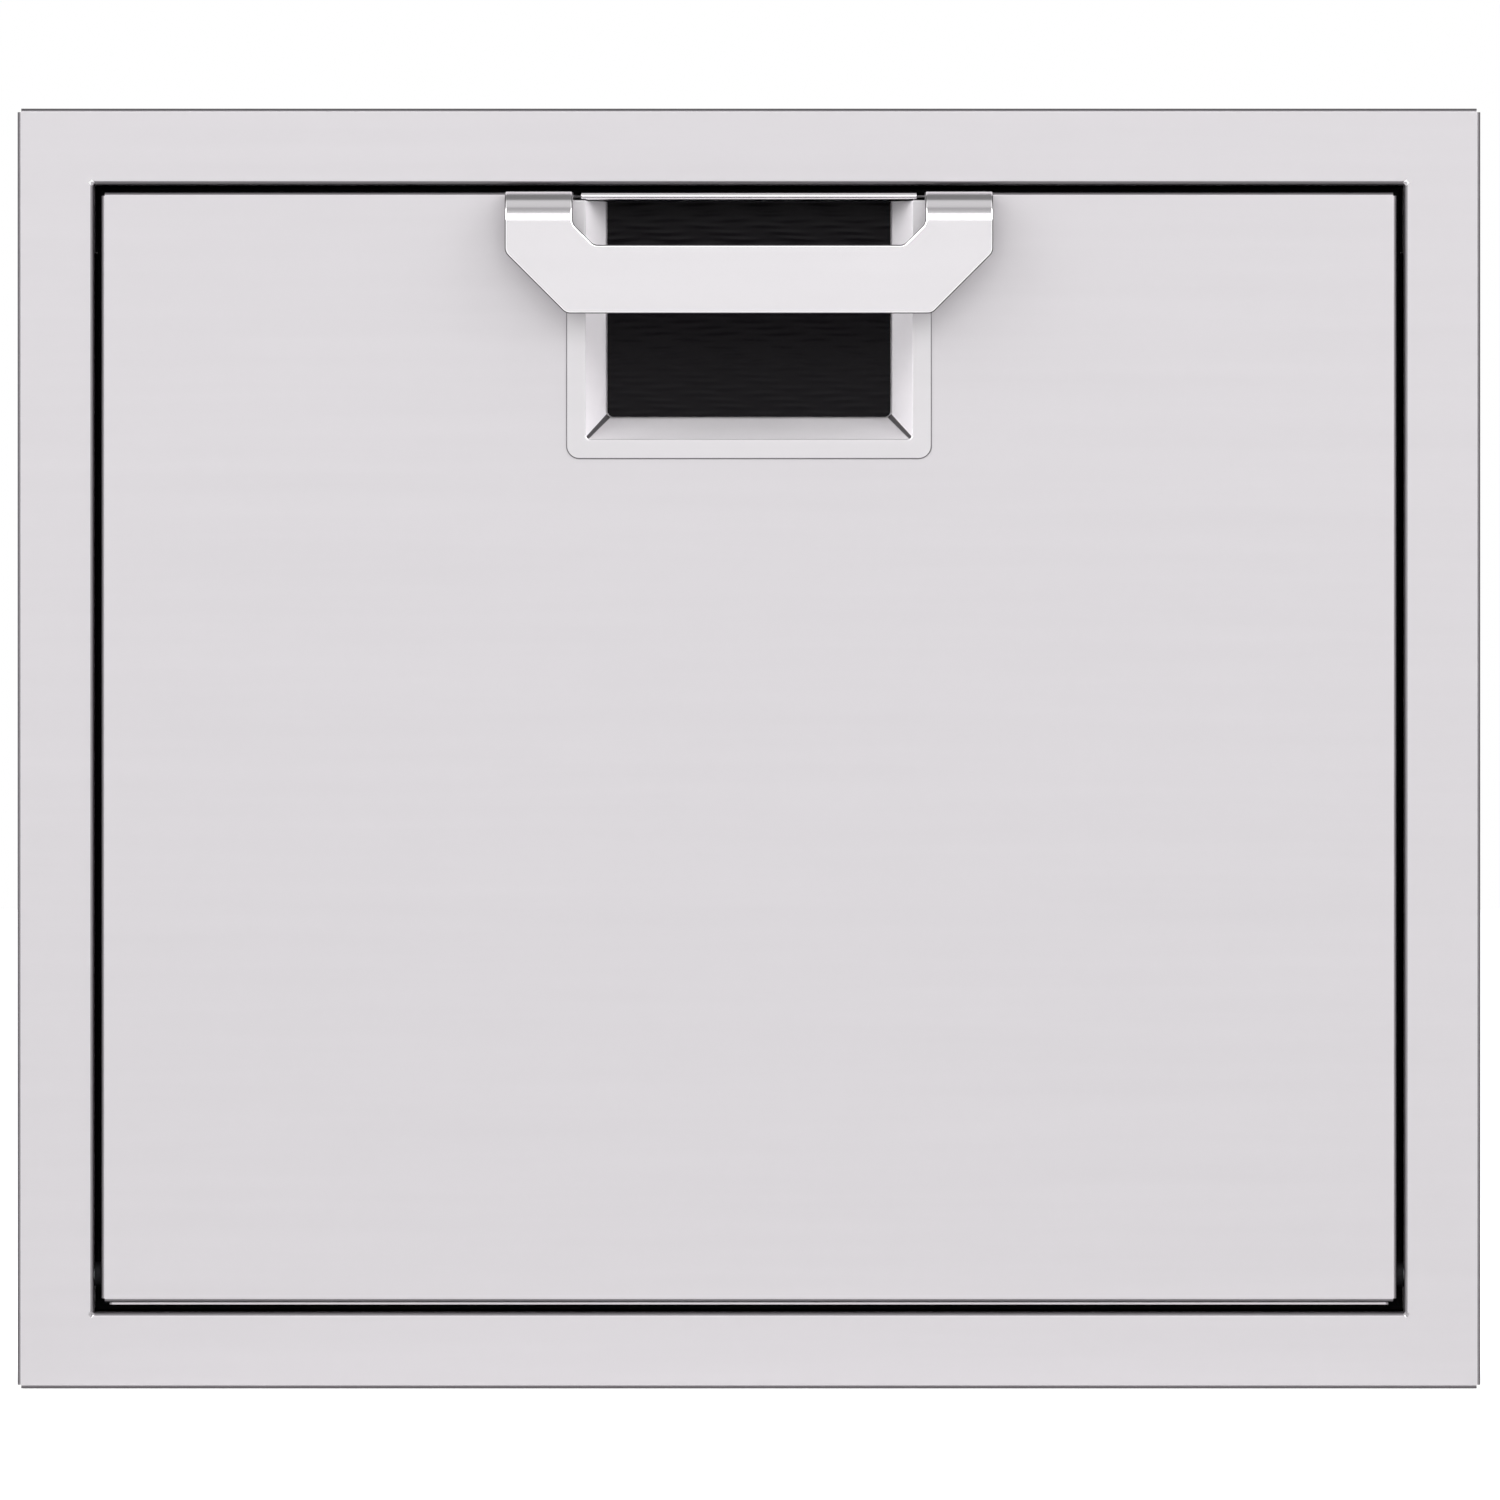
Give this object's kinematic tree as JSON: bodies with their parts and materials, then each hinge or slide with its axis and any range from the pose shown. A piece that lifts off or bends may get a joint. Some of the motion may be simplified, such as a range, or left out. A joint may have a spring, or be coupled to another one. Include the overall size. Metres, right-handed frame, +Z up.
{
  "type": "outdoor kitchen access door",
  "caption": "Drop-down access door for a built-in outdoor kitchen: bent steel frame and sleeve, bottom-hinged double-skin door with hand pocket and bar handle, track stays and magnetic catches.",
  "frame": {"origin": "centre of the cut-out in the island's face, on the plane that the frame's lips rest on", "axes": "+X to the right as seen from the front, +Y back into the island, +Z up"},
  "size_m": [0.6096, 0.127, 0.5334],
  "materials": {
    "brushed_stainless": "fine satin grain",
    "polished_stainless": "bright satin",
    "black_grip": "ribbed black",
    "black_rubber": "matt",
    "black_acetal": "smooth satin",
    "white_nylon": "smooth satin",
    "zinc_steel": "bright zinc plate",
    "ferrite": "matt sintered"
  },
  "bodies": {
    "frame": {"frame_bezel": "brushed_stainless", "stop_top": "brushed_stainless", "stop_bottom": "brushed_stainless", "stop_left": "brushed_stainless", "stop_right": "brushed_stainless", "door_seal": "black_rubber", "sill_seal": "black_rubber", "catch_housings": "black_acetal", "catch_magnets": "ferrite", "catch_poles": "zinc_steel", "hinge_pins": "zinc_steel", "hinge_plates": "brushed_stainless", "stay_track_left": "brushed_stainless", "stay_track_right": "brushed_stainless"},
    "door": {"door_skin": "brushed_stainless", "door_liner": "brushed_stainless", "door_stiffeners": "brushed_stainless", "strike_plates": "zinc_steel", "hinge_blocks": "zinc_steel", "hinge_bushes": "black_acetal", "handle": "polished_stainless", "handle_backing": "zinc_steel", "handle_screws": "zinc_steel", "hand_pocket": "polished_stainless", "pocket_insert": "black_grip", "pocket_rail": "polished_stainless", "stay_brackets": "brushed_stainless", "stay_pivots": "zinc_steel"},
    "left_stay": {"stay_arm_left": "brushed_stainless", "stay_glide_left": "white_nylon"},
    "right_stay": {"stay_arm_right": "brushed_stainless", "stay_glide_right": "white_nylon"}
  },
  "joints": [
    {"name": "door_hinge", "type": "hinge", "parent": "frame", "child": "door", "pos_m": [0, -0.0057, -0.21907], "axis": [1, 0, 0], "range_deg": [0, 90]},
    {"name": "left_stay_pivot", "type": "hinge", "parent": "door", "child": "left_stay", "pos_m": [-0.2515, 0.0203, -0.11908], "axis": [1, 0, 0], "range_deg": [-158, 0]},
    {"name": "right_stay_pivot", "type": "hinge", "parent": "door", "child": "right_stay", "pos_m": [0.2515, 0.0203, -0.11908], "axis": [1, 0, 0], "range_deg": [-158, 0]}
  ],
  "couplings": [
    {"joint": "left_stay_pivot", "follows": "door_hinge", "ratio": -1.75},
    {"joint": "right_stay_pivot", "follows": "door_hinge", "ratio": -1.75}
  ]
}
